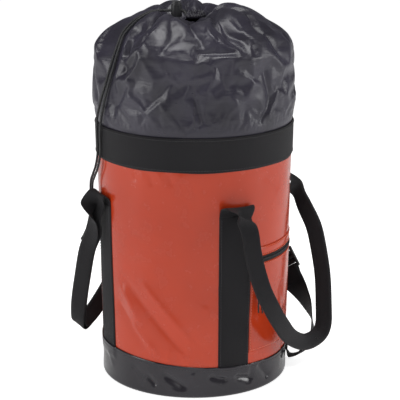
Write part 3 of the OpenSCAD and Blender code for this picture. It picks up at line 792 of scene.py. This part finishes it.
def ribbon(name, stations, width=WEB_W, opening=None, steps=6, cols=21, cup=None, thick=WEB_T):
    """Webbing along stations of (x, y, z, across x, y, z). opening(distance, length) is the angle of a
    lengthwise fold, and cup(distance, length) the curve by which the webbing follows the drum."""
    s = catmull(stations, steps)
    p, w = s[:, :3], s[:, 3:6]
    go = headings(p)
    w = unit(w - (w * go).sum(1)[:, None] * go)
    n = np.cross(go, w)
    d = along(p)
    q = np.linspace(-1, 1, cols)
    half = thick / 2 * selvedge(q)[:, None]
    outer, inner, lay = [], [], []
    for i in range(len(p)):
        x, y, nx, ny = fold_section(opening(d[i], d[-1]) if opening else 180, width, cols)
        if cup is not None:
            inward = -1 if n[i] @ (p[i] * (1, 1, 0)) > 0 else 1
            y = y + inward * cup(d[i], d[-1]) * x ** 2
        base = p[i] + x[:, None] * w[i] + y[:, None] * n[i]
        normal = nx[:, None] * w[i] + ny[:, None] * n[i]
        outer.append(base - normal * half)
        inner.append(base + normal * half)
        lay.append(np.stack([np.full(cols, d[i]), q * width / 2, np.zeros(cols)], -1))
    return slab(name, np.array(outer), np.array(inner), np.array(lay))


# Places (x, y, z) and across directions of the webbing.
ROOT = [
    (0.1034, -0.0999, 0.2745, 0.69, 0.72, 0), (0.1037, -0.1002, 0.280, 0.69, 0.72, 0),
    (0.1052, -0.1016, 0.2855, 0.69, 0.72, 0), (0.1092, -0.1045, 0.2885, 0.68, 0.73, 0),
    (0.1142, -0.107, 0.287, 0.62, 0.78, 0)]
ROOT_LEFT = [*ROOT[:3], (0.1082, -0.1040, 0.2885, 0.69, 0.72, 0), (0.1108, -0.1065, 0.2865, 0.69, 0.72, 0)]
HANDLE_RIGHT = [
    (0.1195, -0.1095, 0.280, 0.6, 0.8, 0), (0.125, -0.112, 0.268, 0.65, 0.75, 0),
    (0.131, -0.114, 0.250, 0.85, 0.5, 0.1), (0.135, -0.115, 0.227, 0.91, 0.36, 0.2),
    (0.141, -0.112, 0.197, 0.91, 0.36, 0.2), (0.148, -0.105, 0.168, 0.88, 0.35, 0.33),
    (0.155, -0.092, 0.142, 0.83, 0.33, 0.45), (0.161, -0.069, 0.112, 0.66, 0.47, 0.59),
    (0.165, -0.034, 0.080, 0.37, 0.59, 0.72), (0.172, 0.012, 0.056, -0.3, 0.77, 0.57),
    (0.180, 0.052, 0.053, -0.8, 0.26, 0.54), (0.184, 0.070, 0.065, -0.99, 0.06, 0.11),
    (0.180, 0.084, 0.092, -1, 0, 0), (0.173, 0.097, 0.138, -1, 0, 0),
    (0.162, 0.106, 0.182, -1, 0, 0.1), (0.153, 0.110, 0.210, -1, 0, 0.15),
    (0.140, 0.111, 0.236, -0.95, 0.1, 0.3), (0.127, 0.111, 0.264, -0.8, 0.5, 0.3),
    (0.1195, 0.1095, 0.280, -0.66, 0.75, 0)]
HANDLE_LEFT = [
    (-0.1118, -0.1072, 0.280, 0.69, -0.72, 0), (-0.1125, -0.1078, 0.268, 0.70, -0.70, 0),
    (-0.1150, -0.1068, 0.250, 0.78, -0.55, 0.05), (-0.1195, -0.1010, 0.227, 0.92, -0.25, 0.15),
    (-0.136, -0.090, 0.194, 0.98, 0.07, 0.2), (-0.152, -0.075, 0.144, 0.99, 0.07, 0.15),
    (-0.165, -0.061, 0.100, 0.99, 0.07, 0.1), (-0.172, -0.050, 0.068, 0.97, -0.1, -0.1),
    (-0.172, -0.037, 0.058, 0.8, -0.2, -0.5), (-0.166, -0.016, 0.068, 0.7, 0.1, -0.7),
    (-0.161, 0.008, 0.084, 0.68, 0.25, -0.7), (-0.156, 0.038, 0.106, 0.72, 0.2, -0.65),
    (-0.151, 0.084, 0.146, 0.72, -0.1, -0.65), (-0.143, 0.114, 0.190, 0.65, -0.54, -0.54),
    (-0.133, 0.116, 0.236, 0.4, -0.91, -0.1), (-0.125, 0.112, 0.266, 0.5, -0.86, 0),
    (-0.1150, 0.1100, 0.280, 0.62, -0.78, 0)]
STRAP_UPPER = [
    (0.04455, 0.1381, 0.3395, 0.95, -0.31, 0), (0.0450, 0.1394, 0.324, 0.95, -0.31, 0),
    (0.0475, 0.149, 0.309, 0.95, -0.31, 0), (0.051, 0.1625, 0.295, 0.95, -0.31, 0),
    (0.056, 0.168, 0.262, 0.95, -0.31, 0.1), (0.066, 0.164, 0.218, 0.9, -0.3, 0.25),
    (0.075, 0.151, 0.180, 0.85, -0.1, 0.45), (0.080, 0.1447, 0.159, 0.83, -0.03, 0.55)]
STRAP_LOWER = [
    (0.110, 0.1353, 0.1132, 0.83, -0.05, 0.55), (0.129, 0.128, 0.095, 0.6, -0.4, 0.65),
    (0.145, 0.118, 0.076, 0.5, -0.7, 0.5), (0.155, 0.108, 0.057, 0.3, -0.93, 0.2),
    (0.159, 0.096, 0.038, 0.1, -0.95, 0.3), (0.154, 0.083, 0.024, 0.1, -0.9, 0.4),
    (0.146, 0.072, 0.016, 0.2, -0.85, 0.4), (0.1425, 0.0685, 0.015, 0.3, -0.86, 0.38),
    (0.1364, 0.063, 0.0146, 0.38, -0.9, 0.2), (0.1312, 0.0606, 0.0165, 0.42, -0.91, 0),
    (0.1292, 0.0597, 0.0225, 0.42, -0.91, 0), (0.1292, 0.0597, 0.040, 0.42, -0.91, 0)]
LADDER_PLACE = (0.095, 0.140, 0.136)
LADDER_RUN = (19, -6, -29)
LADDER_ACROSS = (0.7, 0, 0.68)
LADDER_BAR = 15 * MM                   # from the middle bar to each end bar


def mirrored(route):
    """A strap's route on the bag's other side."""
    return [(-x, y, z, a, -b, -c) for x, y, z, a, b, c in route]


def consistent(stations):
    """Turns each station's across direction so that it doesn't flip against its neighbour."""
    out = [list(stations[0])]
    for s in stations[1:]:
        flip = -1 if np.dot(out[-1][3:], s[3:]) < 0 else 1
        out.append([*s[:3], *(flip * x for x in s[3:])])
    return out


def handle(side, route):
    """One length of webbing from the front strip to the rear one, folded lengthwise between its roots."""
    x = 1 if side == "right" else -1
    root = ROOT if x > 0 else ROOT_LEFT
    front = [(x * a, b, z, p, x * q, r) for a, b, z, p, q, r in root]
    rear = [(x * a, -b, z, p, -x * q, r) for a, b, z, p, q, r in reversed(root)]

    def opening(d, total):
        near = min(d, total - d)
        ripple = 3 * math.sin(d * 23) * float(step(near, 0.05, 0.09))
        return 180 - 174 * float(step(near, 0.013, 0.062)) + ripple

    def cup(d, total):
        return float(1 - step(min(d, total - d), 0.004, 0.020)) / (2 * RIM_R)

    stations = consistent(front + route + rear)
    nodes = [f"handle_{side}", f"handle_root_front_{side}", f"handle_root_rear_{side}"]
    obj = ribbon(f"handle_{side}_webbing", stations, opening=opening, cup=cup, cols=27)
    finish_piece(obj, "webbing", None, nodes)
    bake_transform(obj)


def shoulder_strap(side):
    """The strap in two lengths, looped through its ladder lock."""
    x = 1 if side == "right" else -1
    body = f"shoulder_{side}"
    upper, lower = STRAP_UPPER, STRAP_LOWER
    run = np.array(LADDER_RUN) / np.linalg.norm(LADDER_RUN)
    place, across = np.array(LADDER_PLACE), np.array(LADDER_ACROSS)
    if x < 0:
        upper, lower = mirrored(upper), mirrored(lower)
        run, place, across = run * (-1, 1, 1), place * (-1, 1, 1), across * (1, -1, -1)
    across = unit(across - (across @ run) * run)
    up = np.cross(across, run)

    def weave(bar, *steps):
        """Stations from a bar's place, each so many mm on along the strap and up from it."""
        middle = place + run * bar
        return [(*(middle + run * on * MM + up * lift * MM), *across) for on, lift in steps]

    def cup_top(d, total):
        return float(1 - step(d, 0.010, 0.050)) / (2 * RIM_R)

    def cup_foot(d, total):
        return float(1 - step(total - d, 0.014, 0.036)) / (2 * RIM_R)

    # The upper strap ends in a short loop round the first bar, and the lower one round the third.
    upper = upper + weave(-LADDER_BAR, (-5, 1.2), (0, 2.9), (3.5, 0), (0, -2.9), (-8, -2.2), (-26, -1.6))
    lower = weave(LADDER_BAR, (24, -5.2), (7, -3.6), (0, -2.9), (-3.5, 0), (0, 2.9), (6, 1.4)) + lower
    a = ribbon(f"shoulder_strap_upper_{side}_webbing", consistent(upper), STRAP_W, cup=cup_top, cols=15)
    finish_piece(a, "webbing", None, [f"shoulder_strap_upper_{side}", f"strap_top_{side}"])
    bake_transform(a)
    b = ribbon(f"shoulder_strap_lower_{side}_webbing", consistent(lower), STRAP_W, cup=cup_foot, cols=15)
    finish_piece(b, "webbing", None, [f"shoulder_strap_lower_{side}", f"strap_foot_{side}"])
    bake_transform(b)
    ladder(side, place, [across, run, up])
    # The webbing between the bars passes over the middle one.
    over = weave(0, (-10.4, -1.0), (-7, -0.4), (-3.2, 1.9), (0, 2.7), (3.2, 1.9), (7, -0.4), (10.4, -1.0))
    finish_piece(ribbon(f"ladder_lock_{side}_web", over, STRAP_W, cols=13, thick=1.5 * MM), "webbing", body)


def rounded_bar(size, place, axes):
    """A bar with rounded edges, as points and faces."""
    bpy.ops.mesh.primitive_cube_add(size=1)
    obj = bpy.context.object
    obj.data.transform(Matrix.Diagonal((*size, 1)))
    bevel = obj.modifiers.new("bevel", "BEVEL")
    bevel.width = 1.1 * MM
    bevel.segments = 3
    mesh = bpy.data.meshes.new_from_object(obj.evaluated_get(bpy.context.evaluated_depsgraph_get()))
    points = np.asarray(place) + np.array([v.co for v in mesh.vertices]) @ np.array(axes)
    faces = [tuple(p.vertices) for p in mesh.polygons]
    bpy.data.objects.remove(obj)
    return points, faces


def ladder(side, place, axes):
    """The ladder lock: two cheeks and three bars, all with rounded edges."""
    parts = [((3.6, 34, 4.5), (x, 0, 0)) for x in (-22.2, 22.2)]
    parts += [((43, 4.2, 3.8), (0, -14.9, 0)), ((43, 4.0, 3.2), (0, 0, 0)), ((43, 4.2, 3.8), (0, 14.9, 0))]
    points, faces, first = [], [], 0
    for size, at in parts:
        p, f = rounded_bar([s * MM for s in size], place + np.array(at) * MM @ np.array(axes), axes)
        points.append(p)
        faces += [tuple(i + first for i in face) for face in f]
        first += len(p)
    obj = new_mesh(f"ladder_lock_{side}_frame", np.vstack(points), faces)
    finish_piece(obj, "black_plastic", f"shoulder_{side}", [f"ladder_lock_{side}"])


def tie_loop():
    """The loop inside the back of the wall that the rope's end is tied to."""
    radius, height = 16.1 * MM, 30 * MM
    y0 = BASE_R - WALL_T - 0.4 * MM
    bend = np.radians(np.linspace(-90, 90, 15))
    stations = [(0, y0 - radius * math.cos(b), height + radius * math.sin(b), 1, 0, 0) for b in bend]
    obj = ribbon("rope_tie_loop_webbing", stations, 25 * MM, steps=3, cols=11)
    finish_piece(obj, "webbing", "bag", ["rope_tie_loop"])


# ---------------------------------------------------------------- the zip pocket
def pocket():
    """The panel below the zip, the rain flap above it, the zip's two tapes, and the seams."""
    for name, node, low, high in (("pocket_panel_skin", "pocket_panel", POCKET_LOW, ZIP_Z - 5 * MM),
                                  ("zip_flap_skin", "zip_flap", ZIP_Z + 5 * MM, ZIP_Z + 20 * MM)):
        finish_piece(arc_plate(name, ZIP_FROM - 1, ZIP_TO + 1, low, high), "orange_pvc", "bag", [node])
    top = GAP + PVC_T
    for name, z in (("zip_flap_stitches_0", ZIP_Z + 18 * MM), ("zip_flap_stitches_1", ZIP_Z + 7 * MM),
                    ("pocket_stitches_top", ZIP_Z - 7 * MM), ("pocket_stitches_low", POCKET_LOW + 3 * MM)):
        level_stitches(name, z, top, ZIP_FROM, ZIP_TO, "orange_pvc")
    for k, at in enumerate((ZIP_FROM, ZIP_TO)):
        name = f"pocket_stitches_side_{k}"
        upright_stitches(name, at, POCKET_LOW + 4 * MM, ZIP_Z - 8 * MM, top, "orange_pvc")
    for name, low, high in (("lower", -5, -1.4), ("upper", 1.4, 5)):
        low, high = ZIP_Z + low * MM, ZIP_Z + high * MM
        tape = arc_plate(f"zip_tape_{name}_cloth", ZIP_FROM, ZIP_TO, low, high, 1.2 * MM)
        finish_piece(tape, "zip_tape", "bag", [f"zip_tape_{name}"])
    teeth()


def teeth():
    """Interlocking moulded teeth on a cord core, one every 1.25 mm from alternate sides."""
    pitch = math.degrees(1.25 * MM / RIM_R)
    layers = ((0.1, 1.0), (1.5, 1.0), (2.1, 0.6))       # depth in mm, and how much of the size is left
    corners = ((-1, -0.35), (1, -0.35), (1, 1), (-1, 1))
    points, faces = [], []
    az, k = ZIP_FROM + 0.9, 0
    while az < ZIP_TO - 0.9:
        up = 1 if k % 2 else -1
        r = float(wall_r(ZIP_Z) + dent(az, ZIP_Z))
        out, side = facing(math.radians(az))
        first = len(points)
        for depth, shrink in layers:
            for sx, sz in corners:
                half = 0.52 * shrink * (1.25 if sz < 0 else 0.8)
                z = ZIP_Z + up * (sz * 1.55 * (1 if sz > 0 else shrink)) * MM
                points.append(out * (r + depth * MM) + side * sx * half * MM + np.array([0, 0, z]))
        top = tuple(first + 8 + j for j in range(4))
        faces += grid_faces(len(layers), 4, True, first, up < 0)
        faces.append(top if up > 0 else top[::-1])
        az, k = az + pitch, k + 1
    obj = new_mesh("zip_teeth_row", points, faces, smooth=False)
    finish_piece(obj, "zip_plastic", "bag", ["zip_teeth"])


def zip_pull():
    """The braided loop tied through the pull's tab, with its knot and two cut tails."""
    cord = 2.2 * MM
    tab = (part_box("zip_pull_tab")[0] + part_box("zip_pull_tab")[1]) / 2
    out, side = facing(math.atan2(tab.x, -tab.y))
    pivot = out * PULL_R + np.array([0, 0, ZIP_Z])

    def world(points):
        return [pivot + out * x * MM + side * y * MM + np.array([0, 0, z * MM]) for x, y, z in points]

    loop = [(0.4, 1.6, -52), (1.9, 2.4, -40), (2.2, 1.8, -24), (2.2, 0.3, -13.4), (1.6, 0, -10.4)]
    loop += [(0, 0, -9.6)] + [(-x, -y, z) for x, y, z in reversed(loop)]
    parts = [tube("zip_cord_loop", catmull(world(loop), 6), cord, side * 1.0 + out * 0.2)]
    wraps = np.linspace(0, 9.4, 34)
    knot = [(2.3 * math.cos(t), 2.5 * math.sin(t), -55 - 2.2 * math.sin(2 * t) - 0.4 * t) for t in wraps]
    parts.append(tube("zip_cord_knot", catmull(world(knot), 3), cord, (0, 0, 1)))
    for tail in ([(0, 1.6, -56), (0, 2.6, -62), (0.2, 3.4, -70), (0.5, 5, -80)],
                 [(0, -1.6, -56), (0, -2.4, -62), (-0.2, -2.6, -70), (-0.5, -2, -78)]):
        path = catmull(world(tail), 6)
        sizes = 1 - 0.25 * step(np.linspace(0, 1, len(path)), 0.94, 1)
        parts.append(tube("zip_cord_tail", path, cord, out, sizes=sizes))
    obj = join("zip_pull_cord_braid", parts)
    finish_piece(obj, "cord", "zip_pull", ["zip_pull_cord"])


# ---------------------------------------------------------------- the hood
HOOD_MIDDLE = np.array([0, 0, 0.42])
HOOD_FLAT = (0.911, 0.262)             # the hood's cloth before it was gathered
# Radius and height of the hood's outline, from inside the band to the hem.
HOOD_LINE = [
    (0.1436, 0.3785), (0.1438, 0.389), (0.1458, 0.397), (0.1465, 0.412), (0.1460, 0.440), (0.1448, 0.462),
    (0.1432, 0.482), (0.1395, 0.500), (0.1290, 0.516), (0.1105, 0.530), (0.0910, 0.540), (0.0740, 0.545),
    (0.0580, 0.546), (0.0440, 0.543), (0.0310, 0.539), (0.0230, 0.536), (0.0178, 0.535)]
# How deep the gathers are at each radius, and the broad folds at each height.
GATHER_R = (0.017, 0.022, 0.032, 0.046, 0.064, 0.088, 0.11, 0.13, 0.142)
GATHER_DEPTH = (0.0016, 0.0035, 0.0075, 0.0100, 0.0085, 0.0050, 0.0030, 0.0015, 0.0004)
BROAD_Z = (0.40, 0.43, 0.47, 0.50, 0.53, 0.548, 0.556)
BROAD_DEPTH = (0.0003, 0.0012, 0.0026, 0.0040, 0.0050, 0.0040, 0.002)
# As WALL_CREASES. The first two rows draw the J-shaped fold at the front left.
HOOD_CREASES = [
    (-33, 536, -34, 500, 6, 7.0), (-34, 500, -22, 488, 6, 6.0), (-22, 488, -10, 512, 6, 6.5),
    (-10, 512, -6, 530, 6, 5.0), (-27, 524, -26, 498, 6, -9.0), (-14, 530, -12, 512, 6, -6.0),
    (44, 536, 58, 520, 9, -7.0), (36, 522, 30, 534, 7, 5.0),
    (-30, 520, -21, 470, 9, -9.0), (-20, 462, -8, 500, 7, 4.5), (-43, 505, -28, 464, 7, 4.0),
    (-28, 466, -14, 464, 6, 3.5), (24, 512, 48, 508, 5, -4.0), (30, 502, 62, 497, 7, 3.0),
    (10, 470, -6, 425, 9, -2.6), (2, 440, 16, 396, 6, 2.6), (8, 428, 18, 394, 5, -2.4),
    (20, 470, 26, 405, 12, -2.2), (36, 466, 46, 430, 9, 2.4), (34, 492, 40, 450, 8, -2.6),
    (64, 480, 70, 430, 8, -3.6), (70, 440, 60, 404, 7, -3.2), (76, 450, 66, 410, 6, 2.6),
    (56, 470, 50, 440, 9, 1.8), (-60, 470, -50, 420, 10, -2.2), (-30, 430, -16, 400, 10, -2.4),
    (-44, 420, -30, 396, 7, 1.8), (100, 500, 112, 440, 10, -4.0), (112, 490, 124, 420, 8, 3.0),
    (130, 510, 142, 450, 10, -4.5), (150, 480, 146, 410, 9, -2.4), (165, 505, 172, 440, 9, 3.0),
    (176, 500, 186, 430, 10, -4.0), (196, 480, 204, 410, 8, -2.4), (215, 510, 224, 440, 10, -4.5),
    (232, 500, 238, 430, 8, 3.0), (250, 500, 258, 430, 10, -4.0), (276, 490, 270, 420, 9, -3.0),
    (288, 470, 296, 410, 8, 2.0),
]


def hood_pleats():
    """Where the gathers' valleys lie, and how high the crest between each two is."""
    chance = random.Random(11)
    count = 15
    edges = np.cumsum([chance.uniform(0.7, 1.35) for _ in range(count)])
    edges = edges / edges[-1] * 360
    return edges, [chance.uniform(0.65, 1.25) for _ in range(count)]


def pleat_height(az, edges, heights):
    """The gathers' height round the hood: 0 in the valleys."""
    a = np.asarray(az) % 360
    k = np.searchsorted(edges, a) % len(edges)
    low = np.where(k == 0, edges[-1] - 360, edges[k - 1])
    high = edges[k]
    a = np.where((k == 0) & (a > edges[-1]), a - 360, a)
    t = np.clip((a - low) / (high - low), 0, 1)
    return np.sin(math.pi * t) ** 0.75 * np.array(heights)[k]


def lobe(az, r, height, at, half, reach, width):
    """A soft rise (or hollow) of the hood round azimuth at and radius reach."""
    return height * np.exp(-(turn(az, at) / half) ** 2) * np.exp(-((r - reach) / width) ** 2)


def hood_surface(az, s):
    """Points of the drawn hood at azimuths and shares of its height."""
    line = catmull(HOOD_LINE, 8)
    line = np.column_stack([line, np.zeros(len(line))])
    d = along(line) / along(line)[-1]
    go = headings(line)
    r, z = np.interp(s, d, line[:, 0]), np.interp(s, d, line[:, 1])
    nr, nz = np.interp(s, d, go[:, 1]), -np.interp(s, d, go[:, 0])
    edges, heights = hood_pleats()
    swirl = 5 * np.sin(s * 9 + np.radians(az) * 2) + 3 * np.sin(s * 17 + np.radians(az) * 3)
    gathers = (pleat_height(az + swirl, edges, heights) - 0.62) * np.interp(r, GATHER_R, GATHER_DEPTH)
    broad = np.sin(np.radians(5 * az + 62) + 1.4 * np.sin(np.radians(2 * az + 40)))
    push = gathers + broad * np.interp(z, BROAD_Z, BROAD_DEPTH) * step(r, 0.025, 0.06)
    for fold in HOOD_CREASES:
        push = push + crease(az, z, fold) * step(r, 0.045, 0.085)
    push = push * step(z, 0.391, 0.402)
    rise = lobe(az, r, 0.004, 48, 38.0, 0.062, 0.034) + lobe(az, r, 0.005, -120, 50.0, 0.075, 0.03)
    hollow = lobe(az, r, -0.012, 24, 30.0, 0.055, 0.024)
    # Room for the lock and the cord's straight run.
    room = 1 - step(np.abs(turn(az, LOCK_AZ)), 26, 62)
    room = room * (1 - step(r, 0.040, 0.062)) * step(r, 0.016, 0.022)
    push = push * (1 - 0.8 * room) - room * 0.010
    return around(r + nr * push, np.radians(az), z + nz * push + rise + hollow)


def keep_clear(points, paths, gap):
    """Presses the cloth in under the cords that lie on it, with a slope on both sides of each."""
    away = points - HOOD_MIDDLE
    far = np.linalg.norm(away, axis=1)
    face = away / far[:, None]
    for path in paths:
        cord = path - HOOD_MIDDLE
        for q, reach in zip(cord, np.linalg.norm(cord, axis=1)):
            side = reach * np.linalg.norm(face - q / reach, axis=1)
            most = reach - gap + 0.55 * np.maximum(0, side - 4 * MM)
            far = np.where(side < 30 * MM, np.minimum(far, most), far)
    return HOOD_MIDDLE + face * far[:, None]


def settle(obj, hold, most):
    """Lets the cloth buckle where it is a little too big for its shape. hold is 1 where it is sewn down."""
    start = np.array([v.co for v in obj.data.vertices])
    pins = obj.vertex_groups.new(name="sewn")
    for i, h in enumerate(hold):
        pins.add([i], float(h), "REPLACE")
    cloth = obj.modifiers.new("settle", "CLOTH")
    cloth.settings.effector_weights.gravity = 0
    for key, value in (("quality", 6), ("mass", 0.06), ("air_damping", 3), ("tension_stiffness", 12),
                       ("compression_stiffness", 12), ("shear_stiffness", 4), ("bending_stiffness", 2.5),
                       ("shrink_min", -0.04), ("vertex_group_mass", "sewn"), ("pin_stiffness", 0.35)):
        setattr(cloth.settings, key, value)
    scene = bpy.context.scene
    for frame_number in range(1, 25):
        scene.frame_set(frame_number)
    shaped = obj.evaluated_get(bpy.context.evaluated_depsgraph_get()).to_mesh()
    go = np.array([v.co for v in shaped.vertices]) - start
    obj.modifiers.remove(cloth)
    obj.vertex_groups.remove(pins)
    scene.frame_set(1)
    far = np.linalg.norm(go, axis=1, keepdims=True)
    return start + go * np.minimum(1, most / np.maximum(far, 1e-9))


def hood_cloth():
    """The drawn hood as one gathered sheet: shaped, settled as cloth, and pressed in under the cords."""
    rows, cols = 76, 300
    on_hood = 13                       # points of each tail's route that lie on the hood
    least_hold, most_move = 0.12, 6 * MM
    s = np.linspace(0, 1, rows)[:, None] * np.ones((1, cols))
    az = np.linspace(-180, 180, cols, endpoint=False)[None, :] * np.ones((rows, 1))
    lay = np.stack([np.radians(az) * RIM_R, s * HOOD_FLAT[1], np.zeros_like(s)], axis=-1)
    points = hood_surface(az, s).reshape(-1, 3)
    obj = new_mesh("hood_cloth", points, grid_faces(rows, cols, True), lay.reshape(-1, 3))
    sewn = np.maximum(1 - step(s, 0.07, 0.14), step(s, 0.9, 0.96))
    points = settle(obj, np.maximum(least_hold, sewn).ravel(), most_move)
    paths = [catmull(route[:on_hood], 12) for route in (TAIL_REAR, TAIL_FRONT)]
    points = keep_clear(points, paths, CORD_D / 2 + 1.3 * MM)
    obj.data.vertices.foreach_set("co", points.ravel())
    finer = obj.modifiers.new("finer", "SUBSURF")
    finer.levels = finer.render_levels = 1
    solid = obj.modifiers.new("cloth", "SOLIDIFY")
    solid.thickness = 0.5 * MM
    solid.offset = -1
    finish_piece(obj, "hood_nylon", "bag", ["hood_panel_left", "hood_panel_right"])
    grid = points.reshape(rows, cols, 3)
    for at in (SEAM_AZ, SEAM_AZ + 180):
        for row, off in (("a", -1.2), ("b", 1.2)):
            k = int(round(((at + off + 180) % 360) / 360 * cols)) % cols
            path = grid[int(rows * 0.1):int(rows * 0.62), k]
            stitches(f"hood_stitches_{int(at)}_{row}", path, unit(path - HOOD_MIDDLE), "hood_nylon",
                     pitch=3.4 * MM, length=2.4 * MM, radius=0.3 * MM)


def hem():
    """The gathered hem: a ruffled tube round the throat, open towards the lock."""
    cols, rows = 260, 22
    start, sweep = math.degrees(CORD_AZ) + 42, 276
    ring = np.linspace(0, 2 * math.pi, rows, endpoint=False)
    angle = np.radians(np.linspace(start, start + sweep, cols))
    b, a = np.broadcast_arrays(ring, angle[:, None])
    ruffle = np.sin(15 * a) + 0.5 * np.sin(23 * a + 1)
    fat = HEM_D / 2 * (1 + 0.16 * ruffle * (1 + 0.4 * np.sin(b)))
    frill = 1.6 * MM * np.maximum(0, np.sin(b)) ** 4 * (1 + 0.7 * np.sin(19 * a + 2))
    r = HEM_R + fat * np.cos(b) + 0.5 * MM * np.sin(17 * a)
    points = np.stack([r * np.cos(a), r * np.sin(a), HEM_Z + fat * np.sin(b) + frill], axis=-1)
    lay = np.stack([a * 0.05, b * HEM_D / 2, np.zeros_like(a)], axis=-1)
    faces = grid_faces(cols, rows, True)
    faces.append(tuple(range(rows)))
    faces.append(tuple(reversed([(cols - 1) * rows + k for k in range(rows)])))
    obj = new_mesh("hood_hem_ruffle", points.reshape(-1, 3), faces, lay.reshape(-1, 3))
    finish_piece(obj, "hood_nylon", "bag", ["hood_hem"])


# ---------------------------------------------------------------- the nodes that stay as the CAD made them
def dress_nodes():
    """Better materials for the nodes whose CAD shape is right."""
    slots = {"base_disc": "base_board", "cord_lock_body": "black_plastic",
             "cord_lock_button": "black_plastic"}
    for name in ("zip_stop_front", "zip_stop_rear", "zip_slider", "zip_pull_tab"):
        slots[name] = "zip_plastic"
    for name, slot in slots.items():
        mesh = frame["nodes"][name].data
        mesh.materials.clear()
        mesh.materials.append(MATERIALS[slot])


def lock_spring():
    """The CAD's wire in a mesh of its own, riding on the cord lock. The real spring shortens as the button
    goes down.
    """
    mesh = frame["nodes"]["cord_lock_spring"].data.copy()
    mesh.materials.clear()
    obj = bpy.data.objects.new("cord_lock_spring_wire", mesh)
    bpy.context.scene.collection.objects.link(obj)
    finish_piece(obj, "spring_steel", "cord_lock", ["cord_lock_spring"])
    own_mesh(obj)


def floor():
    bpy.ops.mesh.primitive_plane_add(size=24)
    ground = bpy.context.object
    ground.name = "floor"
    ground.location.z = -0.1 * MM
    ground.data.materials.append(floor_material())


camera()
cords()
drawcord()
body_panel()
boot()
band()
strips()
handle("left", HANDLE_LEFT)
handle("right", HANDLE_RIGHT)
shoulder_strap("left")
shoulder_strap("right")
pocket()
zip_pull()
tie_loop()
hood_cloth()
hem()
dress_nodes()
lock_spring()
floor()
lights()
